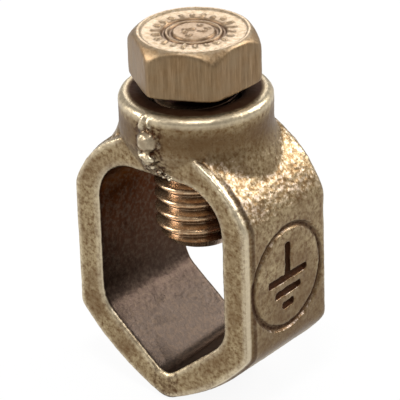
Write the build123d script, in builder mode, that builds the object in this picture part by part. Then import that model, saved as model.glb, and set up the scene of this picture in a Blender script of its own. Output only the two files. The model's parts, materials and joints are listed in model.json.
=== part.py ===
"""Earth rod clamp: a cast bronze frame with a V seat, closed by one forged hex head bolt.

Frame: the origin is the axis of a rod lying in the V seat, where the bolt's axis meets it.
+Y runs along the rod, +Z along the bolt towards its head, and +X across the frame.
Sizes are in millimetres.
"""

import os
from math import ceil, cos, radians, sin, sqrt, tan

from build123d import *

# --- Rod and window -----------------------------------------------------------------
rod_radius = 7.1  # a 5/8 in nominal copper bonded rod is 14.2 mm across
window_half_width = 8.35
window_height = 24.2  # from the point of the V to the lintel under the boss
seat_angle = 39.0  # slope of each side of the V, above level
window_draft = 3.0  # degrees; the window narrows from the front face to the back
window_top_radius = 4.9
window_side_radius = 4.0
window_point_radius = 1.8

# --- Cast frame ---------------------------------------------------------------------
side_wall = 3.5
point_wall = 3.0  # between the inside and the outside point of the V
frame_depth = 13.8
chin_height = 8.6  # from the outside point of the V up to the flanks
shoulder_drop = 3.6  # from the top of the window down to the foot of the shoulders
shoulder_rise = 8.1  # from there up to the crown of the shoulder arch
seat_bow = 1.0  # how far the outside of the V stands out from its chord
flank_radius = 2.2  # outside corners between flank and shoulder
chin_radius = 2.0  # outside corners between flank and V
point_radius = 3.0  # outside point of the V
back_round = 0.8
window_round = 0.5
window_overrun = 2.0  # how far the window's cut runs past the back face
rim_step = 0.25  # the front rim stands in from the frame by this much
rim_depth = 0.9  # thickness of the front rim
rim_round = 0.35

# --- Boss ---------------------------------------------------------------------------
lintel = 7.7  # metal between the window and the top of the boss
boss_radius = 8.22
boss_round = 0.8
boss_blend = 2.8  # fillet where the boss runs into the shoulders
flare_angle = 50.0  # degrees that fillet turns through, from the upright side of the boss
boss_side_height = 4.4  # of the straight side, before the boss narrows
boss_foot_inset = 0.1  # of the boss from the faces of the frame, where it meets the window
gate_lumps = ((2.9, 1.25), (4.9, 1.0))  # drop below the boss top, and radius
gate_sink = 0.45  # how far the centre of each lump lies inside the boss
ring_radius = 5.8  # round mark sunk in the right flank
ring_width = 0.7
ring_sink = 0.3

# --- Bolt, 3/8 in with 16 threads to the inch ---------------------------------------
thread_radius = 4.7625
thread_pitch = 1.5875
thread_depth = 0.92
thread_crest = 0.26  # flat left on each crest
thread_relief = 1.0  # plain neck under the head
thread_root_gap = 0.2  # flat left between two ridges at the root
thread_clearance = 0.05  # between the crests and the hole
hole_lead_in = 0.6
head_across_flats = 12.7
head_height = 5.5
head_turn = 26.0  # degrees the hexagon is turned about the bolt's axis
head_gap = 1.2  # from the boss to the underside of the head
head_face_radius = 6.1  # round face on top, inside the bevel
head_bevel_drop = 0.95  # of the bevel at the six corners
blank_overrun = 0.1  # of the turned blank past the six corners
underside_radius = 6.6
underside_rise = 0.35
shank_length = 18.2
tip_radius = 3.7
tip_taper = 1.3
crown_recess = (3.95, 5.4)  # inner and outer radius of the sunk band on the head
crown_moat = (2.6, 3.45)  # the same of the groove round the centre
crown_sink = 0.3

# --- Places worked out from the sizes above -----------------------------------------
slope = radians(seat_angle)
# The rod lies where the window is narrowest, at the back face.
draft_inset = frame_depth * tan(radians(window_draft))
window_point_z = -(rod_radius + draft_inset) / cos(slope)
window_top_z = window_point_z + window_height
window_corner_z = window_point_z + window_half_width * tan(slope)
half_width = window_half_width + side_wall
half_depth = frame_depth / 2
point_z = window_point_z - point_wall
chin_z = point_z + chin_height
flank_top_z = window_top_z - shoulder_drop
flank_middle_z = (chin_z + flank_top_z) / 2
crown_z = flank_top_z + shoulder_rise
boss_top_z = window_top_z + lintel
head_seat_z = boss_top_z + head_gap
head_top_z = head_seat_z + head_height
tip_z = head_seat_z - shank_length
hole_radius = thread_radius + thread_clearance
core_radius = thread_radius - thread_depth
head_corner_radius = head_across_flats / 2 / cos(radians(30))
blank_radius = head_corner_radius + blank_overrun


def arc_middle(start, end, bow):
    """The middle of an arc from start to end that stands out to the right of its chord."""
    along = Vector(end[0] - start[0], end[1] - start[1])
    out = Vector(along.Y, -along.X).normalized() * bow
    middle = Vector(start[0] + end[0], start[1] + end[1]) * 0.5 + out
    return (middle.X, middle.Y)


# The outside of the frame, seen from the front: V, flanks and shoulder arch.
point = (0, point_z)
chin = (half_width, chin_z)
flank_top = (half_width, flank_top_z)
crown = (0, crown_z)
with BuildSketch(Plane.XZ.offset(half_depth - rim_depth)) as frame_outline:
    with BuildLine():
        ThreePointArc(point, arc_middle(point, chin, seat_bow), chin)
        Line(chin, flank_top)
        mirror(about=Plane.YZ)
        ThreePointArc(flank_top, crown, (-half_width, flank_top_z))
    make_face()
    corners = frame_outline.vertices().group_by(Axis.Y)
    fillet(corners[0], point_radius)
    chins = frame_outline.vertices().filter_by(lambda v: abs(v.Y - chin_z) < 0.01)
    fillet(chins, chin_radius)
    flank_tops = frame_outline.vertices().filter_by(lambda v: abs(v.Y - flank_top_z) < 0.01)
    fillet(flank_tops, flank_radius)

# The front rim is the same outline, standing in by the rim step.
with BuildSketch(Plane.XZ.offset(half_depth - rim_depth)) as rim_outline:
    add(frame_outline.sketch_local)
    offset(amount=-rim_step, mode=Mode.REPLACE)

# The window as it is at the front face.
with BuildSketch(Plane.XZ.offset(half_depth)) as window_outline:
    with BuildLine():
        Polyline(
            (0, window_point_z),
            (window_half_width, window_corner_z),
            (window_half_width, window_top_z),
            (0, window_top_z),
        )
        mirror(about=Plane.YZ)
    make_face()
    levels = window_outline.vertices().group_by(Axis.Y)
    fillet(levels[0], window_point_radius)
    side_corners = window_outline.vertices().filter_by(lambda v: abs(v.Y - window_corner_z) < 0.01)
    fillet(side_corners, window_side_radius)
    top_corners = window_outline.vertices().filter_by(lambda v: abs(v.Y - window_top_z) < 0.01)
    fillet(top_corners.filter_by(lambda v: abs(v.X) > window_half_width / 2), window_top_radius)

with BuildSketch(Plane.XZ) as boss_outline:
    with BuildLine():
        Polyline(
            (0, window_top_z),
            (half_depth - boss_foot_inset, window_top_z),
            (boss_radius, boss_top_z - boss_side_height),
            (boss_radius, boss_top_z),
            (0, boss_top_z),
            (0, window_top_z),
        )
    make_face()

# Where the boss runs into the shoulders it flares out, like the fillet a pattern maker leaves.
shoulder_radius = (half_width**2 + shoulder_rise**2) / (2 * shoulder_rise)
flare_turn = radians(flare_angle)
flare_foot_x = boss_radius + boss_blend * (1 - cos(flare_turn))
flare_foot_z = crown_z - shoulder_radius + sqrt(shoulder_radius**2 - flare_foot_x**2)
flare_top_z = flare_foot_z + boss_blend * sin(flare_turn)
flare_foot = (flare_foot_x, flare_foot_z)
flare_top = (boss_radius, flare_top_z)
with BuildSketch(Plane.XZ) as flare_outline:
    with BuildLine():
        Polyline(flare_foot, (flare_foot_x, flank_top_z), (0, flank_top_z), (0, flare_top_z), flare_top)
        RadiusArc(flare_top, flare_foot, -boss_blend)
    make_face()

with BuildPart() as boss_flare:
    revolve(flare_outline.sketch, axis=Axis.Z)
    Box(4 * half_width, frame_depth - 2 * rim_depth, 4 * half_width, mode=Mode.INTERSECT)

# The round mark on the right flank is a shallow ring.
with BuildSketch(Plane.YZ.offset(half_width)) as ring_outline:
    with Locations((0, flank_middle_z)):
        Circle(ring_radius + ring_width / 2)
        Circle(ring_radius - ring_width / 2, mode=Mode.SUBTRACT)

with BuildPart() as frame_block:
    extrude(frame_outline.sketch, amount=-(frame_depth - rim_depth))
    fillet(frame_block.faces().sort_by(Axis.Y)[0].edges(), rim_round)
    fillet(frame_block.faces().sort_by(Axis.Y)[-1].edges(), back_round)

with BuildPart() as clamp_body:
    extrude(rim_outline.sketch, amount=rim_depth)
    fillet(clamp_body.faces().sort_by(Axis.Y)[0].edges(), rim_round)
    add(frame_block.part)
    revolve(boss_outline.sketch, axis=Axis.Z)
    fillet(clamp_body.edges().group_by(Axis.Z)[-1], boss_round)
    add(boss_flare.part)
    for drop, radius in gate_lumps:
        with Locations((0, gate_sink - boss_radius, boss_top_z - drop)):
            Sphere(radius)
    extrude(window_outline.sketch, amount=-(frame_depth + window_overrun), taper=window_draft, mode=Mode.SUBTRACT)
    flat_faces = clamp_body.faces().filter_by(Axis.Y)
    fillet(flat_faces.sort_by(SortBy.AREA)[-1].inner_wires()[0].edges(), window_round)
    flat_faces = clamp_body.faces().filter_by(Axis.Y)
    front_face = flat_faces.filter_by(lambda f: f.center().Y < 0).sort_by(SortBy.AREA)[-1]
    fillet(front_face.inner_wires()[0].edges(), window_round)
    with Locations((0, 0, boss_top_z)):
        Cylinder(hole_radius, 2 * (lintel + 2 * draft_inset), mode=Mode.SUBTRACT)
    chamfer(clamp_body.edges().group_by(Axis.Z)[-1].sort_by(SortBy.LENGTH)[0], hole_lead_in)
    extrude(ring_outline.sketch, amount=-ring_sink, mode=Mode.SUBTRACT)

# The shank's outline rises and falls once in every pitch, from the head down past the tip.
foot = (thread_pitch - thread_root_gap) / 2
tooth = thread_crest / 2
first_crest_z = head_seat_z - thread_relief - foot
crest_count = ceil((first_crest_z - tip_z) / thread_pitch) + 1
shank_points = [(0, head_seat_z), (core_radius, head_seat_z)]
for crest in range(crest_count):
    crest_z = first_crest_z - crest * thread_pitch
    shank_points.append((core_radius, crest_z + foot))
    shank_points.append((thread_radius, crest_z + tooth))
    shank_points.append((thread_radius, crest_z - tooth))
    shank_points.append((core_radius, crest_z - foot))
shank_points.append((0, crest_z - foot))
with BuildSketch(Plane.XZ) as shank_outline:
    with BuildLine():
        Polyline(*shank_points, close=True)
    make_face()

# Everything outside the tapered tip is cut away.
tip_slope = tip_taper / (thread_radius - tip_radius)
with BuildSketch(Plane.XZ) as tip_outline:
    with BuildLine():
        Polyline(
            (0, tip_z),
            (tip_radius, tip_z),
            (2 * tip_radius, tip_z + tip_slope * tip_radius),
            (2 * tip_radius, tip_z - shank_length),
            (0, tip_z - shank_length),
            close=True,
        )
    make_face()

with BuildSketch(Plane.XZ) as head_outline:
    with BuildLine():
        Polyline(
            (0, head_seat_z),
            (underside_radius, head_seat_z),
            (blank_radius, head_seat_z + underside_rise),
            (blank_radius, head_top_z - head_bevel_drop),
            (head_face_radius, head_top_z),
            (crown_recess[1], head_top_z),
            (crown_recess[1] - crown_sink, head_top_z - crown_sink),
            (crown_recess[0] + crown_sink, head_top_z - crown_sink),
            (crown_recess[0], head_top_z),
            (crown_moat[1], head_top_z),
            (crown_moat[1] - crown_sink, head_top_z - crown_sink),
            (crown_moat[0] + crown_sink, head_top_z - crown_sink),
            (crown_moat[0], head_top_z),
            (0, head_top_z),
            close=True,
        )
    make_face()

with BuildSketch(Plane.XY.offset(head_seat_z)) as hexagon:
    RegularPolygon(head_across_flats / 2, 6, major_radius=False, rotation=head_turn)

with BuildPart() as hex_bolt:
    extrude(hexagon.sketch, amount=head_height)
    revolve(head_outline.sketch, axis=Axis.Z, mode=Mode.INTERSECT)
    revolve(shank_outline.sketch, axis=Axis.Z)
    revolve(tip_outline.sketch, axis=Axis.Z, mode=Mode.SUBTRACT)

clamp_body.part.label = "clamp_body"
hex_bolt.part.label = "hex_bolt"
os.makedirs("parts", exist_ok=True)
export_step(clamp_body.part, "parts/clamp_body.step")
export_step(hex_bolt.part, "parts/hex_bolt.step")
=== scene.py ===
# %% [markdown]
# # An earth rod clamp in cast bronze
# The clamp is two pieces of metal: a sand cast frame with a V seat, and a hex head bolt.
# A rod lies in the V, a conductor lies on the rod, and the bolt presses both together.
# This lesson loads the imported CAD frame, dresses both pieces and lights them.
# Blender counts in metres: values times MM are metres, and plain lengths are millimetres.

# %% Load the frame
import json
import random
from math import cos, radians, sin, tau

import bpy
from mathutils import Matrix, Vector

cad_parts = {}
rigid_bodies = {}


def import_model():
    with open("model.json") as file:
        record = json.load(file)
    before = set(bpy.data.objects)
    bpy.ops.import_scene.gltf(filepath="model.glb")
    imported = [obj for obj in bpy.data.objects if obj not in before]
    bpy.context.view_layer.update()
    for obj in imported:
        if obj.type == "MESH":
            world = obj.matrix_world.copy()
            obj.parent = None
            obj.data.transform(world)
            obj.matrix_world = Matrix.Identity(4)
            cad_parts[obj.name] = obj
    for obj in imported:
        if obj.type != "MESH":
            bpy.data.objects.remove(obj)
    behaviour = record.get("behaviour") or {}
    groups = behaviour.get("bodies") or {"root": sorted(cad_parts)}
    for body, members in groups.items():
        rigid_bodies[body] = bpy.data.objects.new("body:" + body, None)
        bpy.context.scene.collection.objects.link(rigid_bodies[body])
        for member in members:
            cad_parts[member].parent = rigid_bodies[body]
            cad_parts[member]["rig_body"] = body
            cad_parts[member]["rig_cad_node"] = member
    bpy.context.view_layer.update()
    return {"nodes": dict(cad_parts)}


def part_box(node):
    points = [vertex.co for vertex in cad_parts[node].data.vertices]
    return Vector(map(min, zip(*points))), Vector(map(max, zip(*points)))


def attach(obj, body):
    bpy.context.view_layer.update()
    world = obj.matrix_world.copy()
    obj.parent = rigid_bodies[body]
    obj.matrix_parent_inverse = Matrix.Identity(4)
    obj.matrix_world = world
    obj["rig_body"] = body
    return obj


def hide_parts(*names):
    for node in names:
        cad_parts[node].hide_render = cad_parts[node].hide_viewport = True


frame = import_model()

MM = 0.001


# %% [markdown]
# ## Camera
# A small product is shot from a little above with a long lens, so that its upright edges stay
# nearly parallel. The camera aims at the bolt's axis and leans by two degrees.

# %% Place the camera
AIM = Vector((0.1, 0, 8.63)) * MM
CAMERA_TURN = radians(39.5)
CAMERA_RISE = radians(26.8)
CAMERA_LEAN = radians(-1.9)
CAMERA_DISTANCE = 313 * MM
LENS_LENGTH = 263
SENSOR_WIDTH = 36
NEAREST_SEEN = 0.01
FARTHEST_SEEN = 10

towards_camera = Vector(
    (
        sin(CAMERA_TURN) * cos(CAMERA_RISE),
        -cos(CAMERA_TURN) * cos(CAMERA_RISE),
        sin(CAMERA_RISE),
    )
)
bpy.ops.object.camera_add(location=AIM + towards_camera * CAMERA_DISTANCE)
camera = bpy.context.object
camera.name = "camera"
camera.rotation_mode = "QUATERNION"
lean = Matrix.Rotation(CAMERA_LEAN, 4, "Z").to_quaternion()
camera.rotation_quaternion = (-towards_camera).to_track_quat("-Z", "Y") @ lean
camera.data.lens = LENS_LENGTH
camera.data.sensor_width = SENSOR_WIDTH
camera.data.clip_start = NEAREST_SEEN
camera.data.clip_end = FARTHEST_SEEN
bpy.context.scene.camera = camera
print("camera at", [round(value, 3) for value in camera.location])

# %% [markdown]
# ## Helpers
# An operator works on whatever is selected, so each step starts from nothing selected. These
# helpers pick a piece up, select some of its faces, and apply what was done to it.


# %% Selecting and applying
LEVEL = 0.9  # a face lies level if its normal's z is beyond this


def deselect_all():
    """Leave edit mode and select nothing."""
    if bpy.context.object and bpy.context.object.mode == "EDIT":
        bpy.ops.object.mode_set(mode="OBJECT")
    bpy.ops.object.select_all(action="DESELECT")


def take_up(piece):
    """Make one piece the only selected and active one."""
    deselect_all()
    piece.select_set(True)
    bpy.context.view_layer.objects.active = piece


def clear_selection(piece):
    """Deselect all faces, edges and vertices of a piece that is in object mode."""
    for part in (*piece.data.polygons, *piece.data.edges, *piece.data.vertices):
        part.select = False


def select_faces(piece, wanted):
    """Go into edit mode with the faces selected for which wanted(face) is true."""
    take_up(piece)
    clear_selection(piece)
    for face in piece.data.polygons:
        face.select = bool(wanted(face))
    bpy.ops.object.mode_set(mode="EDIT")
    bpy.ops.mesh.select_mode(type="FACE")


def apply_modifier(piece, kind, **settings):
    """Add a modifier, set it, and apply it."""
    take_up(piece)
    modifier = piece.modifiers.new(kind.lower(), kind)
    for name, value in settings.items():
        setattr(modifier, name, value)
    bpy.ops.object.modifier_apply(modifier=modifier.name)


def settle(piece):
    """Write a piece's place, turn and size into its mesh."""
    take_up(piece)
    bpy.ops.object.transform_apply(location=True, rotation=True, scale=True)


def count(piece):
    """The number of triangles in a piece."""
    return sum(len(face.vertices) - 2 for face in piece.data.polygons)


# %% [markdown]
# Most of the work starts from plain blocks and cylinders, which are then cut, kept in common or
# joined. All cylinders here stand upright on the bolt's axis, because the bolt and the boss do.


# %% Blocks, cylinders and what is done with them
def add_block(place, lengths_mm, turn=0.0):
    """A block with its middle at a place, turned about its upright axis."""
    deselect_all()
    bpy.ops.mesh.primitive_cube_add(size=MM, location=place)
    block = bpy.context.object
    block.scale = lengths_mm
    block.rotation_euler = (0, 0, turn)
    settle(block)
    return block


def add_cylinder(sides, radius, depth, middle_z, turn=0.0):
    """An upright cylinder on the bolt's axis."""
    deselect_all()
    bpy.ops.mesh.primitive_cylinder_add(
        vertices=sides,
        radius=radius,
        depth=depth,
        location=(0, 0, middle_z),
        rotation=(0, 0, turn),
    )
    cylinder = bpy.context.object
    settle(cylinder)
    return cylinder


def combine(piece, tool, operation):
    """Cut a tool out of a piece, or keep what both share. The tool is used up."""
    apply_modifier(piece, "BOOLEAN", object=tool, operation=operation, solver="EXACT")
    bpy.data.objects.remove(tool)


def join(piece, others):
    """Make one piece of a piece and others, without melting their surfaces together."""
    take_up(piece)
    for other in others:
        other.select_set(True)
    bpy.ops.object.join()


# %% [markdown]
# A cast or forged skin is never even. Each unevenness is a cloud pattern that pushes the points of
# a named group out and in. A dense mesh is needed for that, and afterwards it is thinned out.


# %% Working on a skin
def skin_group(piece, name, wanted):
    """A vertex group for the points where wanted(vertex) is true."""
    group = piece.vertex_groups.new(name=name)
    group.add([v.index for v in piece.data.vertices if wanted(v)], 1.0, "REPLACE")


def make_uneven(piece, name, grain_mm, height_mm, group="", along="NORMAL", octaves=2):
    """Push the points of a group by a cloud pattern with grains of one size."""
    texture = bpy.data.textures.new(name, "CLOUDS")
    texture.noise_scale = grain_mm * MM
    texture.noise_depth = octaves
    apply_modifier(
        piece,
        "DISPLACE",
        texture=texture,
        texture_coords="LOCAL",
        direction=along,
        strength=height_mm * MM,
        mid_level=0.5,
        vertex_group=group,
    )


def thin_out(piece, most_triangles):
    """Bring a dense piece down to a number of triangles and shade it smooth."""
    apply_modifier(piece, "DECIMATE", ratio=min(1, most_triangles / count(piece)))
    take_up(piece)
    bpy.ops.object.shade_smooth()


# %% [markdown]
# ## Sizes read from the frame
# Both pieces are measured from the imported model, so that the dressed pieces fit it.

# %% Measure the frame
body_low, body_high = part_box("clamp_body")
bolt_low, bolt_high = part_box("hex_bolt")
HALF_WIDTH = body_high.x
BOSS_TOP = body_high.z
BODY_FOOT = body_low.z
HEAD_TOP = bolt_high.z
TIP = bolt_low.z
for name, value in (("boss top", BOSS_TOP), ("head top", HEAD_TOP), ("tip", TIP)):
    print(name, "is at", round(value / MM, 2), "mm")

# %% [markdown]
# ## The casting
# The frame was poured in sand, so its faces are grainy, its edges are soft, and a broken off
# gate has left lumps down the front of the boss. It starts from a copy of the CAD body, whose
# loose triangles are merged into one closed surface first.

# %% Copy the CAD body
MERGE_DISTANCE = 0.0005 * MM
cad_body = frame["nodes"]["clamp_body"]
take_up(cad_body)
bpy.ops.object.duplicate()
casting = bpy.context.object
casting.name = "bronze_casting"
casting.parent = None
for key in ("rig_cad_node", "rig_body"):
    if key in casting:
        del casting[key]
take_up(casting)
bpy.ops.object.mode_set(mode="EDIT")
bpy.ops.mesh.select_all(action="SELECT")
bpy.ops.mesh.remove_doubles(threshold=MERGE_DISTANCE)
bpy.ops.object.mode_set(mode="OBJECT")
print("casting starts with", count(casting), "triangles")

# %% [markdown]
# ## The round mark on the flank
# A mark was pressed into the mould for the right flank. The CAD body has its ring; inside it
# goes the plain sign for earth, an upright over three bars that grow shorter. Each stroke is a
# small block with softened edges that is cut out of the casting.

# %% Cut the earth sign
SIGN_CENTRE_Z = 3.03
SIGN_SINK = 0.42
STROKE = 0.8
STROKE_SOFTNESS = 0.2 * MM
SIGN_STROKES = (
    # middle y, middle z above the sign's centre, length along y, length along z
    (0.0, 2.15, STROKE, 3.7),
    (0.0, 0.0, 6.6, STROKE),
    (0.0, -1.6, 4.3, STROKE),
    (0.0, -3.2, 2.0, STROKE),
)


def sign_stroke(y, z, along_y, along_z):
    """A softened block that reaches into the flank by the sign's depth."""
    place = Vector((HALF_WIDTH / MM, y, SIGN_CENTRE_Z + z)) * MM
    stroke = add_block(place, (2 * SIGN_SINK, along_y, along_z))
    apply_modifier(stroke, "BEVEL", width=STROKE_SOFTNESS, segments=2, limit_method="NONE")
    return stroke


for sizes in SIGN_STROKES:
    combine(casting, sign_stroke(*sizes), "DIFFERENCE")
print("casting with its sign has", count(casting), "triangles")

# %% [markdown]
# ## The broken gate
# Metal ran into the mould through a gate on the front of the boss. Breaking it off left a
# ragged ridge: a large nugget under the rim, smaller ones below, and thin burrs beside them.
# Each lump is a ball pressed to its own three half sizes, leant over, and joined on.

# %% Add the lumps of the gate
GATE_LUMPS = (
    # x, y, drop below the boss top, half width, half depth, half height, lean in degrees
    (-0.5, -7.85, 1.3, 0.5, 0.75, 1.3, 10),
    (0.35, -7.9, 1.35, 0.35, 0.6, 0.95, -12),
    (0.05, -8.1, 2.95, 1.3, 1.05, 1.25, -6),
    (1.35, -7.85, 2.9, 0.3, 0.55, 1.0, -8),
    (-0.05, -8.05, 4.8, 1.2, 0.9, 0.6, 10),
    (0.75, -7.85, 5.0, 0.45, 0.6, 0.4, -20),
    (-0.5, -7.75, 5.8, 0.6, 0.5, 0.3, 12),
    (0.2, -7.6, 6.15, 0.4, 0.45, 0.3, -8),
    (0.75, -7.3, 6.75, 0.5, 0.45, 0.28, -24),
    (1.35, -7.15, 7.15, 0.4, 0.4, 0.22, -30),
    (1.95, -7.0, 7.35, 0.35, 0.35, 0.18, -30),
    (-0.95, -7.2, 6.6, 0.4, 0.4, 0.35, 24),
)


def gate_lump(x, y, drop, half_width, half_depth, half_height, lean_degrees):
    """One lump of the broken gate."""
    deselect_all()
    place = Vector((x * MM, y * MM, BOSS_TOP - drop * MM))
    bpy.ops.mesh.primitive_ico_sphere_add(subdivisions=3, radius=MM, location=place)
    lump = bpy.context.object
    lump.scale = (half_width, half_depth, half_height)
    lump.rotation_euler = (0, radians(lean_degrees), 0)
    settle(lump)
    return lump


join(casting, [gate_lump(*sizes) for sizes in GATE_LUMPS])
print("gate lumps joined:", len(GATE_LUMPS))

# %% [markdown]
# ## The flare under the boss
# The boss does not stand on the shoulders with a sharp corner: the metal flares out below it. A
# cone with a wide hole is trimmed behind the front rim and joined on, to make the flare fuller.

# %% Fill out the flare
FLARE_FOOT_Z = 14.6 * MM
FLARE_TOP_Z = BOSS_TOP - 3.6 * MM
FLARE_FOOT_RADIUS = 9.5 * MM
FLARE_TOP_RADIUS = 8.15 * MM
FLARE_HOLE_RADIUS = 7.3 * MM
FLARE_HOLE_DEPTH = 20 * MM
FLARE_TRIM_MM = (30, 11.6, 30)

deselect_all()
bpy.ops.mesh.primitive_cone_add(
    vertices=128,
    radius1=FLARE_FOOT_RADIUS,
    radius2=FLARE_TOP_RADIUS,
    depth=FLARE_TOP_Z - FLARE_FOOT_Z,
    location=(0, 0, (FLARE_FOOT_Z + FLARE_TOP_Z) / 2),
)
flare = bpy.context.object
settle(flare)
combine(flare, add_cylinder(96, FLARE_HOLE_RADIUS, FLARE_HOLE_DEPTH, FLARE_FOOT_Z), "DIFFERENCE")
combine(flare, add_block((0, 0, FLARE_FOOT_Z), FLARE_TRIM_MM), "INTERSECT")
join(casting, [flare])
print("flare joined, casting has", count(casting), "triangles")

# %% [markdown]
# ## Cast skin
# Remeshing with small cells melts the lumps, the flare, the sign and the frame into one skin
# with edges as soft as a casting's. The flare is then smoothed many times over, until it runs
# into the shoulders without a step.

# %% Melt the parts together
SKIN_CELL = 0.125 * MM
FLARE_ROUNDS = 120
FLARE_REACH = (7.9 * MM, 11.5 * MM)
FLARE_HEIGHTS = (13.6 * MM, BOSS_TOP - 2.2 * MM)
FLARE_HALF_DEPTH = 5.7 * MM


def on_flare(vertex):
    """Whether a point lies on the flare or just beside it, behind the front rim."""
    return (
        FLARE_REACH[0] < vertex.co.xy.length < FLARE_REACH[1]
        and FLARE_HEIGHTS[0] < vertex.co.z < FLARE_HEIGHTS[1]
        and abs(vertex.co.y) < FLARE_HALF_DEPTH
    )


apply_modifier(casting, "REMESH", mode="VOXEL", voxel_size=SKIN_CELL, adaptivity=0)
apply_modifier(
    casting,
    "CORRECTIVE_SMOOTH",
    factor=0.5,
    iterations=2,
    use_only_smooth=True,
    use_pin_boundary=True,
)
skin_group(casting, "flare_skin", on_flare)
apply_modifier(
    casting, "SMOOTH", factor=0.5, iterations=FLARE_ROUNDS, vertex_group="flare_skin"
)
print("cast skin has", count(casting), "triangles")

# %% [markdown]
# The grain differs from place to place. A slow wave leaves the walls a little uneven, and two
# finer ones give what sand leaves. The shoulders are rougher, and the gate was torn. The bolt
# hole was drilled afterwards, so it keeps clear of the grain.

# %% Choose where the grain goes
HOLE_KEEP_OUT = 5.3 * MM
SHOULDER_FOOT_Z = 11 * MM
SHOULDER_DROP = 4.5 * MM
SHOULDER_INNER_X = 7 * MM
SHOULDER_SLOPE = 0.35
GATE_REACH = 8.3 * MM
GATE_FRONT_Y = -7 * MM
GATE_HALF_WIDTH = 2.4 * MM


def off_the_hole(vertex):
    """Whether a point keeps clear of the drilled hole."""
    return vertex.co.xy.length > HOLE_KEEP_OUT


def on_shoulder(vertex):
    """Whether a point lies on a shoulder and looks upwards."""
    return (
        SHOULDER_FOOT_Z < vertex.co.z < BOSS_TOP - SHOULDER_DROP
        and vertex.normal.z > SHOULDER_SLOPE
        and abs(vertex.co.x) > SHOULDER_INNER_X
    )


def on_gate(vertex):
    """Whether a point stands out from the boss where the gate broke off."""
    return (
        vertex.co.xy.length > GATE_REACH
        and vertex.co.y < GATE_FRONT_Y
        and abs(vertex.co.x) < GATE_HALF_WIDTH
    )


skin_group(casting, "cast_skin", off_the_hole)
skin_group(casting, "shoulder_skin", on_shoulder)
skin_group(casting, "gate_skin", on_gate)
print("groups of skin:", [group.name for group in casting.vertex_groups])

# %% Grain the skin
GRAIN = (
    # name, size of the grain in mm, height in mm, where
    ("ragged_gate", 0.8, 0.35, "gate_skin"),
    ("uneven_walls", 3.2, 0.10, "cast_skin"),
    ("sand_grain", 0.55, 0.035, "cast_skin"),
    ("fine_grain", 0.26, 0.025, "cast_skin"),
    ("rough_shoulder", 0.5, 0.09, "shoulder_skin"),
)
for name, grain_mm, height_mm, group in GRAIN:
    make_uneven(casting, name, grain_mm, height_mm, group, octaves=1)
    print(name, "moves points of", group, "by up to", height_mm / 2, "mm each way")

# %% [markdown]
# The mark was cut into the mould's pattern by hand, so its lines wander. Two more waves push the
# points of its disc sideways along the flank, which bends the lines and leaves the face flat.

# %% Let the mark wander
MARK_DISC_RADIUS = 6.3 * MM
MARK_WANDER = 0.3
MOST_CASTING_TRIANGLES = 190000
mark_centre = Vector((HALF_WIDTH, 0, SIGN_CENTRE_Z * MM))


def on_mark(vertex):
    """Whether a point lies on the disc of the round mark."""
    on_flank = vertex.co.x > HALF_WIDTH - MM
    return on_flank and (vertex.co - mark_centre).length < MARK_DISC_RADIUS


skin_group(casting, "mark_skin", on_mark)
for along, grain_mm in (("Y", 1.3), ("Z", 1.0)):
    name = "wander_" + along.lower()
    make_uneven(casting, name, grain_mm, MARK_WANDER, "mark_skin", along)
thin_out(casting, MOST_CASTING_TRIANGLES)
print("finished casting has", count(casting), "triangles")

# %% [markdown]
# ## The bolt head
# A bolt head is forged to a hexagon, and its corners are taken off round at the top and the
# bottom, while the die leaves round steps on the crown. So a round blank is built up first,
# ring by ring, as a lathe would leave it, and then cut with a six sided prism.

# %% Turn the blank
HEAD_GAP = 1.2 * MM
HEAD_SEAT = BOSS_TOP + HEAD_GAP
HEAD_HEIGHT = HEAD_TOP - HEAD_SEAT
FOOT_RADIUS = 6.55
FOOT_THICKNESS = 0.02
crown_height = HEAD_HEIGHT / MM
BLANK_PROFILE = (
    # radius and height above the seat in mm, up the side and over the top to the middle
    (6.95, 0.08),
    (7.25, 0.25),
    (7.5, 0.6),
    (7.5, crown_height - 2.3),
    (7.38, crown_height - 1.75),
    (7.18, crown_height - 1.3),
    (6.9, crown_height - 0.85),
    (6.55, crown_height - 0.45),
    (6.25, crown_height - 0.16),
    (5.98, crown_height),
    (5.72, crown_height),
    (5.55, crown_height - 0.17),
    (3.5, crown_height - 0.2),
    (3.36, crown_height - 0.5),
    (3.1, crown_height - 0.5),
    (3.0, crown_height - 0.22),
    (2.76, crown_height - 0.22),
    (2.66, crown_height - 0.48),
    (2.36, crown_height - 0.48),
    (2.2, crown_height - 0.18),
    (1.2, crown_height - 0.1),
)
foot_middle_z = HEAD_SEAT + FOOT_THICKNESS / 2 * MM
blank = add_cylinder(160, FOOT_RADIUS * MM, FOOT_THICKNESS * MM, foot_middle_z)
blank.name = "bolt_head"
select_faces(blank, lambda face: face.normal.z > LEVEL)
radius, height = FOOT_RADIUS, FOOT_THICKNESS
for next_radius, next_height in BLANK_PROFILE:
    rise = (0, 0, (next_height - height) * MM)
    bpy.ops.mesh.extrude_region_move(TRANSFORM_OT_translate={"value": rise})
    ratio = next_radius / radius
    bpy.ops.transform.resize(value=(ratio, ratio, 1), center_override=(0, 0, 0))
    radius, height = next_radius, next_height
bpy.ops.object.mode_set(mode="OBJECT")
print("blank turned, rim at", round(max(v.co.z for v in blank.data.vertices) / MM, 2), "mm")

# %% [markdown]
# The prism is higher than the head, so that it cuts only the six sides. Its upright edges are
# rounded first, because a worn head has no sharp corners.

# %% Cut the six flats
ACROSS_FLATS = 12.7 * MM
CORNER_RADIUS = ACROSS_FLATS / 2 / cos(radians(30))
CORNER_SOFTNESS = 0.55 * MM
ROUNDED_FROM = radians(40)
HEAD_TURN = radians(56)
prism = add_cylinder(6, CORNER_RADIUS, 3 * HEAD_HEIGHT, HEAD_SEAT, HEAD_TURN)
apply_modifier(
    prism,
    "BEVEL",
    width=CORNER_SOFTNESS,
    segments=4,
    limit_method="ANGLE",
    angle_limit=ROUNDED_FROM,
)
combine(blank, prism, "INTERSECT")
print("bolt head with its flats has", count(blank), "triangles")

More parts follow.
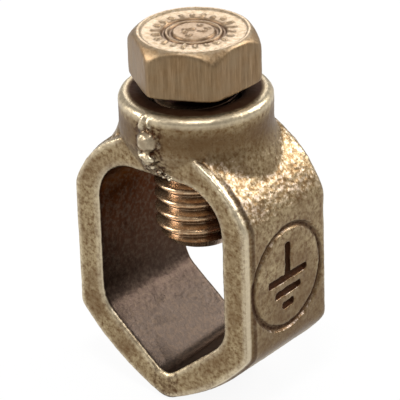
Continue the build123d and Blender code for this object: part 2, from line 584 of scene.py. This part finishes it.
# %% [markdown]
# The sunk band of the crown carries a ring of worn ticks, and the middle a low worn relief. They
# are plain blocks that spell nothing. The seed is fixed, so each run lays them the same way.

# %% Add the worn ticks
rng = random.Random(7)
TICKS = 22
TICK_REACH = 4.1
TICK_WIDTH = 0.36
BLOBS = 9
BLOB_WIDTH = 0.4
MARK_SINK = 0.3
MARK_ROOT = 0.1
MOST_SLANT = 18


def crown_block(reach, turn, length, width, rise):
    """A small block on the crown at a reach from the middle, its length along the radius."""
    middle_z = HEAD_TOP - MARK_SINK * MM + rise * MM / 2
    place = (reach * MM * cos(turn), reach * MM * sin(turn), middle_z)
    slant = radians(rng.uniform(-MOST_SLANT, MOST_SLANT))
    return add_block(place, (length, width, rise + MARK_ROOT), turn + slant)


def worn_tick(number):
    """One tick of the ring, a little out of its place."""
    reach = TICK_REACH + rng.uniform(-0.1, 0.1)
    length = rng.uniform(0.5, 1.0)
    rise = rng.uniform(0.2, 0.32)
    return crown_block(reach, tau * number / TICKS, length, TICK_WIDTH, rise)


def worn_blob():
    """One low blob near the middle."""
    reach = rng.uniform(0.3, 1.5)
    turn = rng.uniform(0, tau)
    length = rng.uniform(0.4, 0.8)
    rise = rng.uniform(0.26, 0.36)
    return crown_block(reach, turn, length, BLOB_WIDTH, rise)


ticks = [worn_tick(number) for number in range(TICKS)]
blobs = [worn_blob() for blob in range(BLOBS)]
join(blank, ticks + blobs)
print("ticks and blobs on the crown:", len(ticks) + len(blobs))

# %% [markdown]
# Remeshing softens the whole head as wear does. The sides and their upper edges are smoothed
# further, while the crown keeps its relief.

# %% Soften the head
HEAD_CELL = 0.09 * MM
CROWN_RADIUS = 5.8 * MM
CROWN_DROP = 0.06 * MM
SIDE_ROUNDS = 70
MOST_HEAD_TRIANGLES = 110000


def off_the_crown(vertex):
    """Whether a point lies outside the crown and below it."""
    return vertex.co.xy.length > CROWN_RADIUS and vertex.co.z < HEAD_TOP - CROWN_DROP


apply_modifier(blank, "REMESH", mode="VOXEL", voxel_size=HEAD_CELL, adaptivity=0)
apply_modifier(blank, "CORRECTIVE_SMOOTH", factor=0.5, iterations=4, use_only_smooth=True)
skin_group(blank, "outside", off_the_crown)
apply_modifier(blank, "SMOOTH", factor=0.5, iterations=SIDE_ROUNDS, vertex_group="outside")
make_uneven(blank, "worn_head", 0.9, 0.05)
thin_out(blank, MOST_HEAD_TRIANGLES)
print("bolt head has", count(blank), "triangles")

# %% [markdown]
# ## The thread
# A thread is one ridge that climbs round the shank. Its outline over a single pitch is drawn
# point by point, and a screw modifier sweeps it up and round.

# %% Draw the ridge
PITCH = 1.5875
CREST_RADIUS = 4.74
CREST_EDGE_RADIUS = 4.64
FLANK_RADIUS = 4.42
FILLET_RADIUS = 3.9
ROOT_RADIUS = 3.86
RIDGE = (
    # radius in mm, and height in parts of the pitch
    (ROOT_RADIUS, 0.0),
    (FILLET_RADIUS, 0.07),
    (FLANK_RADIUS, 0.30),
    (CREST_EDGE_RADIUS, 0.40),
    (CREST_RADIUS, 0.49),
    (CREST_RADIUS, 0.57),
    (CREST_EDGE_RADIUS, 0.66),
    (FLANK_RADIUS, 0.75),
    (FILLET_RADIUS, 0.95),
    (ROOT_RADIUS, 1.0),
)
START_Z = TIP - PITCH * MM


def draw_profile(points):
    """A chain of edges through the points, drawn by extruding one vertex after another."""
    deselect_all()
    bpy.ops.mesh.primitive_plane_add(size=MM)
    bpy.ops.object.mode_set(mode="EDIT")
    bpy.ops.mesh.select_all(action="SELECT")
    bpy.ops.mesh.merge(type="CENTER")
    bpy.ops.mesh.select_mode(type="VERT")
    bpy.ops.mesh.select_all(action="SELECT")
    bpy.ops.transform.translate(value=points[0])
    for before, after in zip(points, points[1:]):
        bpy.ops.mesh.extrude_region_move(TRANSFORM_OT_translate={"value": after - before})
    bpy.ops.object.mode_set(mode="OBJECT")
    return bpy.context.object


thread = draw_profile([Vector((r * MM, 0, START_Z + part * PITCH * MM)) for r, part in RIDGE])
thread.name = "bolt_thread"
print("ridge drawn with", len(thread.data.vertices), "points")

# %% [markdown]
# The sweep starts one turn below the tip and ends above the head's seat, so that its ragged ends
# can be trimmed. Its open ends are closed, because only a closed body can be trimmed.

# %% Sweep the ridge
SHANK_LENGTH = HEAD_SEAT - TIP
SPARE_TURNS = 3
STEPS_ROUND = 96
turns = int(SHANK_LENGTH / (PITCH * MM)) + SPARE_TURNS
apply_modifier(
    thread,
    "SCREW",
    axis="Z",
    angle=tau,
    screw_offset=PITCH * MM,
    iterations=turns,
    steps=STEPS_ROUND,
    render_steps=STEPS_ROUND,
    use_merge_vertices=True,
    merge_threshold=0.001 * MM,
)
take_up(thread)
bpy.ops.object.mode_set(mode="EDIT")
bpy.ops.mesh.select_all(action="SELECT")
bpy.ops.mesh.remove_doubles(threshold=0.002 * MM)
bpy.ops.mesh.select_all(action="DESELECT")
bpy.ops.mesh.select_mode(type="EDGE")
bpy.ops.mesh.select_non_manifold()
bpy.ops.mesh.edge_face_add()
bpy.ops.mesh.select_all(action="SELECT")
bpy.ops.mesh.normals_make_consistent(inside=False)
bpy.ops.object.mode_set(mode="OBJECT")
print("thread swept in", turns, "turns,", count(thread), "triangles")

# %% [markdown]
# What the thread keeps is what it shares with a plug of the shank's length. The plug's lower end
# has a smaller ring inside it, and raising the outer ring turns the end into the tapered tip.

# %% Trim the thread with a turned plug
PLUG_RADIUS = 5.2
TIP_RADIUS = 3.65
TIP_RISE = 1.9
SMOOTH_UP_TO = radians(50)
tip_ratio = TIP_RADIUS / PLUG_RADIUS
between_rings = (TIP_RADIUS + PLUG_RADIUS) / 2 * MM
plug = add_cylinder(96, PLUG_RADIUS * MM, SHANK_LENGTH, TIP + SHANK_LENGTH / 2)
select_faces(plug, lambda face: face.normal.z < -LEVEL)
bpy.ops.mesh.extrude_region_move(TRANSFORM_OT_translate={"value": (0, 0, 0)})
bpy.ops.transform.resize(value=(tip_ratio, tip_ratio, 1), center_override=(0, 0, 0))
bpy.ops.mesh.select_mode(type="VERT")
bpy.ops.object.mode_set(mode="OBJECT")
clear_selection(plug)
for vertex in plug.data.vertices:
    at_the_tip = vertex.co.z < TIP + 0.1 * MM
    vertex.select = at_the_tip and vertex.co.xy.length > between_rings
bpy.ops.object.mode_set(mode="EDIT")
bpy.ops.transform.translate(value=(0, 0, TIP_RISE * MM))
bpy.ops.object.mode_set(mode="OBJECT")
combine(thread, plug, "INTERSECT")
take_up(thread)
bpy.ops.object.shade_smooth_by_angle(angle=SMOOTH_UP_TO)
print("trimmed thread has", count(thread), "triangles")

# %% [markdown]
# ## Materials
# Both pieces are bronze, but the skin differs. Cast bronze that has been handled is khaki brown
# and rough, with painted shade in its hollows and rims that are rubbed paler and get a painted
# highlight. The bolt is smoother and redder.
# Both are made from noise and from where a point lies on the piece, so they need no pictures.


# %% Node helpers
class Nodes:
    """A short way to add nodes to a material and to link them."""

    def __init__(self, name):
        self.material = bpy.data.materials.new(name)
        self.material.use_nodes = True
        self.tree = self.material.node_tree
        self.shader = self.tree.nodes["Principled BSDF"]
        self.place = self.add("ShaderNodeTexCoord").outputs["Object"]

    def fill(self, socket, value):
        """Link a socket if the value is another socket, and otherwise set it."""
        if isinstance(value, bpy.types.NodeSocket):
            self.tree.links.new(value, socket)
        elif isinstance(value, tuple) and socket.type == "RGBA":
            socket.default_value = (*value[:3], 1)
        else:
            socket.default_value = value

    def add(self, kind, inputs=None, **settings):
        """Add a node, set its properties and its inputs, and return it."""
        node = self.tree.nodes.new(kind)
        for name, value in settings.items():
            setattr(node, name, value)
        for name, value in (inputs or {}).items():
            self.fill(node.inputs[name], value)
        return node

    def set(self, name, value):
        """Set or link one of the shader's inputs."""
        self.fill(self.shader.inputs[name], value)

    def noise(self, size_mm, detail=3, rough=0.55, stretch=None):
        """A noise pattern whose features are about size_mm across."""
        place = self.place
        if stretch:
            mapping = self.add("ShaderNodeMapping", {"Vector": self.place, "Scale": stretch})
            place = mapping.outputs[0]
        scale = 1 / (size_mm * MM)
        inputs = {"Vector": place, "Scale": scale, "Detail": detail, "Roughness": rough}
        return self.add("ShaderNodeTexNoise", inputs).outputs["Fac"]

    def ramp(self, source, stops):
        """A colour ramp from (position, colour) stops."""
        node = self.add("ShaderNodeValToRGB", {"Fac": source})
        elements = node.color_ramp.elements
        while len(elements) < len(stops):
            elements.new(0.5)
        for element, (position, colour) in zip(elements, stops):
            element.position = position
            element.color = (*colour, 1)
        return node.outputs["Color"]

    def mix(self, amount, first, second):
        """Go from the first colour to the second by an amount between 0 and 1."""
        node = self.add("ShaderNodeMix", data_type="RGBA", blend_type="MIX")
        for index, value in ((0, amount), (6, first), (7, second)):
            self.fill(node.inputs[index], value)
        return node.outputs[2]

    def maths(self, operation, first, second=0.0):
        """One sum on two values."""
        node = self.add("ShaderNodeMath", {0: first, 1: second}, operation=operation)
        return node.outputs[0]

    def product(self, first, *others):
        """The product of several masks or shares."""
        for other in others:
            first = self.maths("MULTIPLY", first, other)
        return first

    def largest(self, first, *others):
        """The largest of several masks."""
        for other in others:
            first = self.maths("MAXIMUM", first, other)
        return first

    def spread(self, source, low, high, start=0.0, end=1.0):
        """Spread what source does from low to high over start to end."""
        limits = {"From Min": low, "From Max": high, "To Min": start, "To Max": end}
        return self.add("ShaderNodeMapRange", {"Value": source, **limits}, clamp=True).outputs[0]

    def over(self, source, limit, fade, full=1.0):
        """A mask that is full where source is over a limit, with a soft edge as wide as fade."""
        return self.spread(source, limit - fade / 2, limit + fade / 2, 0.0, full)

    def under(self, source, limit, fade, full=1.0):
        """A mask that is full where source is under a limit, with a soft edge as wide as fade."""
        return self.spread(source, limit + fade / 2, limit - fade / 2, 0.0, full)

    def opposite(self, mask):
        """1 where a mask is 0, and 0 where it is 1."""
        return self.spread(mask, 1.0, 0.0)

    def parts(self, vector):
        """The x, y and z of a vector."""
        return self.add("ShaderNodeSeparateXYZ", {"Vector": vector}).outputs

    def normal_parts(self):
        """The x, y and z of the way that the surface looks."""
        return self.parts(self.add("ShaderNodeNewGeometry").outputs["Normal"])

    def from_axis(self):
        """How far a point is from the bolt's axis."""
        inputs = {0: self.place, 1: (1, 1, 0)}
        level = self.add("ShaderNodeVectorMath", inputs, operation="MULTIPLY").outputs[0]
        length = self.add("ShaderNodeVectorMath", {0: level}, operation="LENGTH")
        return length.outputs["Value"]

    def openness(self, reach, inside=False):
        """Low in a hollow, or low on an edge when it looks into the metal."""
        inputs = {"Distance": reach}
        node = self.add("ShaderNodeAmbientOcclusion", inputs, samples=8, inside=inside)
        return node.outputs["AO"]

    def bump(self, height, strength, depth, below=None):
        """A fine relief of a given depth, laid over the one below it."""
        inputs = {"Height": height, "Strength": strength, "Distance": depth}
        if below:
            inputs["Normal"] = below
        return self.add("ShaderNodeBump", inputs).outputs[0]


# %% [markdown]
# ### Cast bronze
# Specks shift the khaki towards brown and tan, and broad stains darken it. Small pits in the skin
# have kept the brown of the mould.

# %% Khaki, stains and specks
KHAKI = (0.295, 0.217, 0.117)
BROWN = (0.145, 0.080, 0.034)
TAN = (0.44, 0.345, 0.205)
PIT_BROWN = (0.075, 0.034, 0.015)

cast = Nodes("cast_bronze")
stains = cast.noise(3.6, detail=4)
specks = cast.noise(0.5, detail=5, rough=0.7)
pits = cast.noise(0.3, detail=2)
skin = cast.ramp(specks, [(0.37, BROWN), (0.49, KHAKI), (0.66, TAN)])
skin = cast.mix(cast.over(stains, 0.54, 0.24, 0.65), skin, BROWN)
print("khaki, stains and specks take", len(cast.tree.nodes), "nodes")

# %% [markdown]
# The place of a point decides what is painted on it. Each place is a mask: it is 1 there and 0
# elsewhere, with a soft edge. The first masks are the window's walls, which get painted shade,
# dark and redder, and the top of the boss under the bolt head, which gets the painted shadow of
# the head and its grease.

# %% Masks of the window and of the top under the head
x, y, z = cast.parts(cast.place)
look_x, look_y, look_z = cast.normal_parts()
sideways = cast.maths("ABSOLUTE", x)
from_axis = cast.from_axis()

SEAT_SLOPE = 0.81
WINDOW_HALF_WIDTH = 8.6 * MM
WINDOW_FOOT = -12.15 * MM
WINDOW_TOP_Z = 14.85 * MM
above_seat = cast.maths("SUBTRACT", z, cast.product(sideways, SEAT_SLOPE))
window = cast.product(
    cast.under(sideways, WINDOW_HALF_WIDTH, 0.2 * MM),
    cast.over(above_seat, WINDOW_FOOT, 0.3 * MM),
    cast.under(z, WINDOW_TOP_Z, 0.3 * MM),
    cast.under(cast.maths("ABSOLUTE", look_y), 0.475, 0.25),
)
outside_window = cast.opposite(window)
# Painted shadow of the bolt head on the boss top, with the grease that gathers there.
under_head = cast.product(
    cast.under(from_axis, 7.125 * MM, 0.45 * MM),
    cast.over(z, BOSS_TOP - 0.45 * MM, 0.3 * MM),
)
print("masks so far take", len(cast.tree.nodes), "nodes")

# %% [markdown]
# Round the boss there are a darker brown band below its rim, its rim, which is rubbed and gets
# a painted highlight, the gate that stands out from it with a painted highlight, and the crevices
# between the gate's lumps, which get painted shade.

# %% Masks of the boss and the gate
GATE_SURFACE = 8.52 * MM
boss = cast.product(
    cast.under(z, BOSS_TOP - 1.6 * MM, 1.2 * MM),
    cast.over(z, BOSS_TOP - 4.6 * MM, 2.8 * MM),
)
boss_rim = cast.product(
    cast.over(from_axis, 7.35 * MM, 0.3 * MM),
    cast.over(z, BOSS_TOP - 0.95 * MM, 0.5 * MM),
)
gate = cast.product(
    cast.over(from_axis, GATE_SURFACE, 0.2 * MM),
    cast.under(y, -7.0 * MM, 0.4 * MM),
    cast.under(sideways, 2.4 * MM, 0.4 * MM),
)
# Painted shade in the crevices between the gate's lumps.
crevices = cast.product(
    cast.under(sideways, 1.8 * MM, 0.6 * MM),
    cast.under(y, -6.9 * MM, 0.4 * MM),
    cast.under(z, BOSS_TOP - 1.15 * MM, 0.5 * MM),
    cast.under(from_axis, GATE_SURFACE, 0.2 * MM),
    cast.under(specks, 0.5, 0.12),
)
print("masks so far take", len(cast.tree.nodes), "nodes")

# %% [markdown]
# On the frame there are the shoulders, which get a painted glint, the bead along the front rim,
# which gets a painted highlight, the painted shade line behind that bead, and the lower part of
# the right flank, which gets painted shade.

# %% Masks of the frame
RIM_LINE_Y = -5.8 * MM
shoulders = cast.product(
    cast.over(look_z, 0.475, 0.25),
    cast.under(z, BOSS_TOP - 3.75 * MM, 1.5 * MM),
    cast.over(sideways, 5 * MM, 2 * MM),
    outside_window,
)
front_rim = cast.product(
    cast.under(y, -6.275 * MM, 0.25 * MM),
    cast.over(look_y, -0.825, 0.25),
    cast.over(from_axis, 9.3 * MM, 0.6 * MM),
    outside_window,
)
# Painted shade line behind the bead of the front rim.
from_rim_line = cast.maths("ABSOLUTE", cast.maths("SUBTRACT", y, RIM_LINE_Y))
rim_line = cast.product(
    cast.under(from_rim_line, 0.22 * MM, 0.24 * MM),
    outside_window,
    cast.over(from_axis, 10.0 * MM, 0.8 * MM),
)
# Painted shade on the lower part of the right flank, darker towards the bottom.
low_flank = cast.product(
    cast.under(z, 0.5 * MM, 9 * MM),
    cast.over(x, 11.15 * MM, 0.3 * MM),
)
print("masks so far take", len(cast.tree.nodes), "nodes")

# %% [markdown]
# The round mark has a groove round it and a sunk sign in it. Both get dirt and painted shade. The
# flat disc between them is kept clear of the rubbed and highlighted rims, which would draw every
# edge of the sign.

# %% Masks of the round mark
RING_RADIUS = 5.8 * MM
SIGN_RADIUS = 5.25 * MM
SIGN_FLOOR_X = HALF_WIDTH - 0.085 * MM
mark_place = (HALF_WIDTH, 0, SIGN_CENTRE_Z * MM)
distance = cast.add("ShaderNodeVectorMath", {0: cast.place, 1: mark_place}, operation="DISTANCE")
from_mark = distance.outputs["Value"]
from_ring = cast.maths("ABSOLUTE", cast.maths("SUBTRACT", from_mark, RING_RADIUS))
ring = cast.product(
    cast.under(from_ring, 0.22 * MM, 0.24 * MM),
    cast.over(x, 11.3 * MM, 0.2 * MM),
    cast.spread(specks, 0.40, 0.54, 0.35, 1.0),
)
sign = cast.product(
    cast.under(x, SIGN_FLOOR_X, 0.07 * MM),
    cast.under(from_mark, SIGN_RADIUS, 0.1 * MM),
    cast.over(x, 11.25 * MM, 0.1 * MM),
)
# The ring and the sign get dirt and painted shade.
stamped = cast.largest(ring, sign)
off_mark = cast.largest(
    cast.over(from_mark, 6.7 * MM, 0.4 * MM),
    cast.under(x, 10.65 * MM, 0.3 * MM),
    0.15,
)
print("masks take", len(cast.tree.nodes), "nodes")

# %% [markdown]
# The colours are laid on one over another: the darker band round the boss, the painted shade of
# the low flank and the pits first, then the painted glint of the shoulders, then the rims, which
# are rubbed and get a painted highlight. An ambient occlusion node that looks into the metal
# finds the rims.

# %% Band, painted shade, painted glints and highlighted rims
BAND_AND_SHADE_BROWN = (0.125, 0.072, 0.032)
GLINT = (0.74, 0.60, 0.50)
RUBBED_AND_HIGHLIGHT = (0.88, 0.77, 0.56)
# A darker brown band round the boss, and painted shade on the low flank.
skin = cast.mix(cast.product(cast.largest(cast.product(boss, 1.1), low_flank), 0.75), skin, BAND_AND_SHADE_BROWN)
skin = cast.mix(cast.over(pits, 0.63, 0.10, 0.4), skin, PIT_BROWN)
# Painted glint on the shoulders where they look up.
skin = cast.mix(cast.product(shoulders, cast.over(specks, 0.56, 0.12), 0.65), skin, GLINT)
# Convex edges, found by looking into the metal, are rubbed and get a painted highlight.
edges = cast.openness(0.8 * MM, inside=True)
rims = cast.product(
    cast.under(edges, 0.795, 0.35),
    cast.spread(specks, 0.36, 0.56, 0.55, 1.0),
    off_mark,
)
# The gate, the bead of the front rim and the boss rim get painted highlights.
for mask, share in ((gate, 0.25), (front_rim, 0.55), (boss_rim, 0.45)):
    rims = cast.largest(rims, cast.product(mask, share))
skin = cast.mix(cast.product(rims, 0.9), skin, RUBBED_AND_HIGHLIGHT)
print("rims found with", len(cast.tree.nodes), "nodes")

# %% [markdown]
# The window's walls get painted shade, from a red brown at the top to a greyer brown on the seat.
# Painted shade and dirt come last: an ambient occlusion node that looks outwards finds the hollows
# for painted shade, and the masks add the painted shade line, the crevices, the painted shadow
# under the head with its grease, and the grooves of the mark, which get dirt and painted shade.

# %% Painted shade on the window's walls, and painted shade and dirt
WALL_SHADE_TOP = (0.060, 0.018, 0.008)
WALL_SHADE_FOOT = (0.060, 0.045, 0.036)
WALL_SHADE_SPECK = (0.115, 0.082, 0.060)
DIRT_AND_SHADE = (0.045, 0.016, 0.007)
# Painted shade on the window's walls, red brown at the top and greyer on the seat.
wall_shade = cast.ramp(cast.under(z, 1.5 * MM, 15 * MM), [(0.0, WALL_SHADE_TOP), (1.0, WALL_SHADE_FOOT)])
wall_shade = cast.mix(cast.over(specks, 0.54, 0.16, 0.7), wall_shade, WALL_SHADE_SPECK)
skin = cast.mix(window, skin, wall_shade)
# Painted shade in the hollows that ambient occlusion finds.
hollow = cast.openness(1.0 * MM)
skin = cast.mix(cast.under(hollow, 0.76, 0.32, 0.95), skin, DIRT_AND_SHADE)
# Painted shade on the line behind the bead, in the crevices and under the head, with grease under
# the head and dirt in the mark.
for mask, share in ((rim_line, 0.65), (crevices, 0.9), (under_head, 0.95), (stamped, 0.9)):
    skin = cast.mix(cast.product(mask, share), skin, DIRT_AND_SHADE)
cast.set("Base Color", skin)
cast.set("Metallic", 1.0)
print("dirt laid on with", len(cast.tree.nodes), "nodes")

# %% [markdown]
# The rims are a little smoother than the skin, and the mark and the top under the head are
# rougher.
# Two bumps give the finest grain. The walls' skin is tinted where light grazes it, or it would
# shine white there.

# %% Roughness, tint and fine grain
WHITE = (1, 1, 1)
WALL_TINT = (0.72, 0.55, 0.45)
rough = cast.spread(specks, 0.3, 0.7, 0.40, 0.52)
rough = cast.maths("SUBTRACT", rough, cast.product(rims, 0.12))
rough = cast.maths("ADD", rough, cast.product(cast.largest(stamped, under_head), 0.3))
cast.set("Roughness", rough)
cast.set("Specular Tint", cast.mix(window, WHITE, WALL_TINT))
cast.set("Normal", cast.bump(pits, 0.3, 0.03 * MM, cast.bump(specks, 0.35, 0.06 * MM)))
print("cast bronze has", len(cast.tree.nodes), "nodes")

# %% [markdown]
# ### Bolt bronze
# The flats of the head carry fine upright marks of the forging die, so the noise there is
# stretched along the bolt. The crown is paler, partly rubbed and partly painted light on the faces
# that look up, but browner in the middle of its relief.

# %% The flats and the crown
FLAT_DARK = (0.150, 0.090, 0.042)
FLAT_MIDDLE = (0.225, 0.142, 0.070)
FLAT_LIGHT = (0.32, 0.22, 0.125)
FLAT_MOTTLE = (0.24, 0.18, 0.11)
CROWN_DARK = (0.38, 0.27, 0.16)
CROWN_MIDDLE = (0.50, 0.38, 0.25)
CROWN_LIGHT = (0.60, 0.49, 0.36)
CROWN_BROWN = (0.26, 0.155, 0.085)

forged = Nodes("bolt_bronze")
streaks = forged.noise(0.24, detail=4, rough=0.7, stretch=(1, 1, 0.06))
mottle = forged.noise(2.0, detail=4)
fine_mottle = forged.noise(0.5, detail=4, rough=0.65)
reach = forged.from_axis()
looks_up = forged.over(forged.normal_parts()[2], 0.65, 0.4)

flats = [(0.32, FLAT_DARK), (0.5, FLAT_MIDDLE), (0.70, FLAT_LIGHT)]
skin = forged.ramp(streaks, flats)
skin = forged.mix(forged.over(mottle, 0.54, 0.24, 0.4), skin, FLAT_MOTTLE)
top_stops = [(0.36, CROWN_DARK), (0.5, CROWN_MIDDLE), (0.66, CROWN_LIGHT)]
top = forged.ramp(fine_mottle, top_stops)
top = forged.mix(forged.under(reach, 4.1 * MM, 1.6 * MM, 0.6), top, CROWN_BROWN)
flat_top = forged.product(looks_up, forged.under(reach, 6.15 * MM, 0.5 * MM))
# The crown, and faintly every face that looks up, gets the paler colour: rubbing and painted
# light.
skin = forged.mix(forged.largest(flat_top, forged.product(looks_up, 0.15)), skin, top)
print("flats and crown take", len(forged.tree.nodes), "nodes")

# %% [markdown]
# Edges are rubbed and get a painted highlight, and hollows get painted shade, here too. Below the
# head the thread is fresher and more coppery, with painted shade in its roots, and a painted
# shadow, darkest, where it goes into the boss under the head.

# %% Edges, hollows and the thread
EDGE_WEAR_AND_HIGHLIGHT = (0.58, 0.45, 0.29)
HOLLOW_SHADE = (0.07, 0.028, 0.012)
COPPER_DARK = (0.36, 0.21, 0.11)
COPPER_MIDDLE = (0.46, 0.30, 0.17)
COPPER_LIGHT = (0.56, 0.41, 0.26)
ROOT_SHADE = (0.045, 0.016, 0.006)
HOLE_SHADOW = (0.020, 0.007, 0.004)

# Rubbed edges with a painted highlight.
edges = forged.openness(0.6 * MM, inside=True)
skin = forged.mix(forged.under(edges, 0.705, 0.31, 0.4), skin, EDGE_WEAR_AND_HIGHLIGHT)
# Painted shade in the hollows.
hollow = forged.openness(0.7 * MM)
skin = forged.mix(forged.under(hollow, 0.77, 0.34, 0.95), skin, HOLLOW_SHADE)
height = forged.parts(forged.place)[2]
below_head = forged.under(height, HEAD_SEAT + 0.07 * MM, 0.1 * MM)
copper_stops = [(0.36, COPPER_DARK), (0.5, COPPER_MIDDLE), (0.66, COPPER_LIGHT)]
copper = forged.ramp(fine_mottle, copper_stops)
# Painted shade in the thread's roots.
copper = forged.mix(forged.under(hollow, 0.71, 0.42, 0.95), copper, ROOT_SHADE)
# Painted shadow of the head on the thread, where it goes into the boss.
copper = forged.mix(forged.over(height, BOSS_TOP - 0.45 * MM, 0.7 * MM), copper, HOLE_SHADOW)
skin = forged.mix(below_head, skin, copper)
forged.set("Base Color", skin)
forged.set("Metallic", 0.9)

rough = forged.spread(streaks, 0.3, 0.7, 0.38, 0.5)
rough = forged.maths("SUBTRACT", rough, forged.product(below_head, 0.2))
forged.set("Roughness", rough)
lines = forged.bump(streaks, 0.4, 0.03 * MM)
forged.set("Normal", forged.bump(fine_mottle, 0.4, 0.05 * MM, lines))
print("bolt bronze has", len(forged.tree.nodes), "nodes")

# %% [markdown]
# ## Put the pieces on their bodies
# Each piece rides on the body that carries it, stands in for its CAD node, which is hidden, and
# gets the material that it takes its finish from. The head and the thread move as one bolt.

# %% Dress the bodies
for piece, body, node, slot, nodes in (
    (casting, "clamp", "clamp_body", "cast_bronze", cast),
    (blank, "bolt", "hex_bolt", "bolt_bronze", forged),
    (thread, "bolt", "hex_bolt", "bolt_bronze", forged),
):
    piece.data.materials.clear()
    piece.data.materials.append(nodes.material)
    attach(piece, body)
    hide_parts(node)
    print(piece.name, "rides on", body, "with", count(piece), "triangles")

# %% [markdown]
# ## Floor
# The clamp stands on the point of its V, just clear of a large plain floor. The floor glows white
# to the camera and in the metal's reflections, and the rest of it is a pale grey that still
# takes a soft shadow.

# %% Floor
FLOOR_WIDTH = 2
FLOOR_GAP = 0.02 * MM
FLOOR_GREY = (0.86, 0.86, 0.86)
FLOOR_GLOW = 0.92
deselect_all()
bpy.ops.mesh.primitive_plane_add(size=FLOOR_WIDTH, location=(0, 0, BODY_FOOT - FLOOR_GAP))
floor = bpy.context.object
floor.name = "floor"
floor_nodes = Nodes("floor_white")
floor_nodes.set("Base Color", FLOOR_GREY)
floor_nodes.set("Roughness", 0.9)
floor_nodes.set("Specular IOR Level", 0.0)
rays = floor_nodes.add("ShaderNodeLightPath").outputs
seen = floor_nodes.largest(rays["Is Camera Ray"], rays["Is Glossy Ray"])
glow = floor_nodes.add("ShaderNodeEmission", {"Color": WHITE, "Strength": 1.0})
amount = floor_nodes.product(seen, FLOOR_GLOW)
shaders = {0: amount, 1: floor_nodes.shader.outputs[0], 2: glow.outputs[0]}
blend = floor_nodes.add("ShaderNodeMixShader", shaders)
output = floor_nodes.tree.nodes["Material Output"]
floor_nodes.fill(output.inputs["Surface"], blend.outputs[0])
floor.data.materials.append(floor_nodes.material)
print("floor lies", round((BODY_FOOT - FLOOR_GAP) / MM, 2), "mm from the rod's axis")

# %% [markdown]
# ## World
# The world is white to the camera, and also through anything clear. As a light it is weaker, so
# that the lamps shape the metal.

# %% World
WORLD_LIGHT = 0.45
world = bpy.data.worlds.new("studio")
bpy.context.scene.world = world
world.use_nodes = True
tree = world.node_tree
background = tree.nodes["Background"]
background.inputs["Color"].default_value = (*WHITE, 1)
rays = tree.nodes.new("ShaderNodeLightPath").outputs
seen = tree.nodes.new("ShaderNodeMath")
seen.operation = "MAXIMUM"
tree.links.new(rays["Is Camera Ray"], seen.inputs[0])
tree.links.new(rays["Is Transmission Ray"], seen.inputs[1])
strength = tree.nodes.new("ShaderNodeMapRange")
strength.inputs["To Min"].default_value = WORLD_LIGHT
strength.inputs["To Max"].default_value = 1.0
tree.links.new(seen.outputs[0], strength.inputs["Value"])
tree.links.new(strength.outputs[0], background.inputs["Strength"])
print("world lights the clamp at", WORLD_LIGHT)

# %% [markdown]
# ## Lamps
# Metal shows its shape by what it mirrors, so the lamps are large and soft. Two stand behind the
# clamp and draw its shoulders and rims, one hangs above, and one fills the front from the left.

# %% Lamps
LAMP_AIM = Vector((0, 0, 0.008))
LAMPS = (
    # name, place in metres, width in metres, watts
    ("lamp_behind_right", (0.26, 0.40, 0.34), 0.18, 2.1),
    ("lamp_behind_left", (-0.34, 0.38, 0.30), 0.24, 0.7),
    ("lamp_overhead", (0.15, -0.19, 0.46), 0.12, 1.1),
    ("lamp_front_left", (-0.40, -0.35, 0.25), 0.22, 2.6),
)
for name, place, width, watts in LAMPS:
    deselect_all()
    bpy.ops.object.light_add(type="AREA", location=place)
    lamp = bpy.context.object
    lamp.name = name
    lamp.data.size = width
    lamp.data.energy = watts
    lamp.rotation_mode = "QUATERNION"
    lamp.rotation_quaternion = (LAMP_AIM - Vector(place)).to_track_quat("-Z", "Y")
    print(name, "gives", watts, "W")

# %% [markdown]
# ## Finish
# The view shows colours as they are written.

# %% Finish
bpy.context.scene.view_settings.view_transform = "Standard"
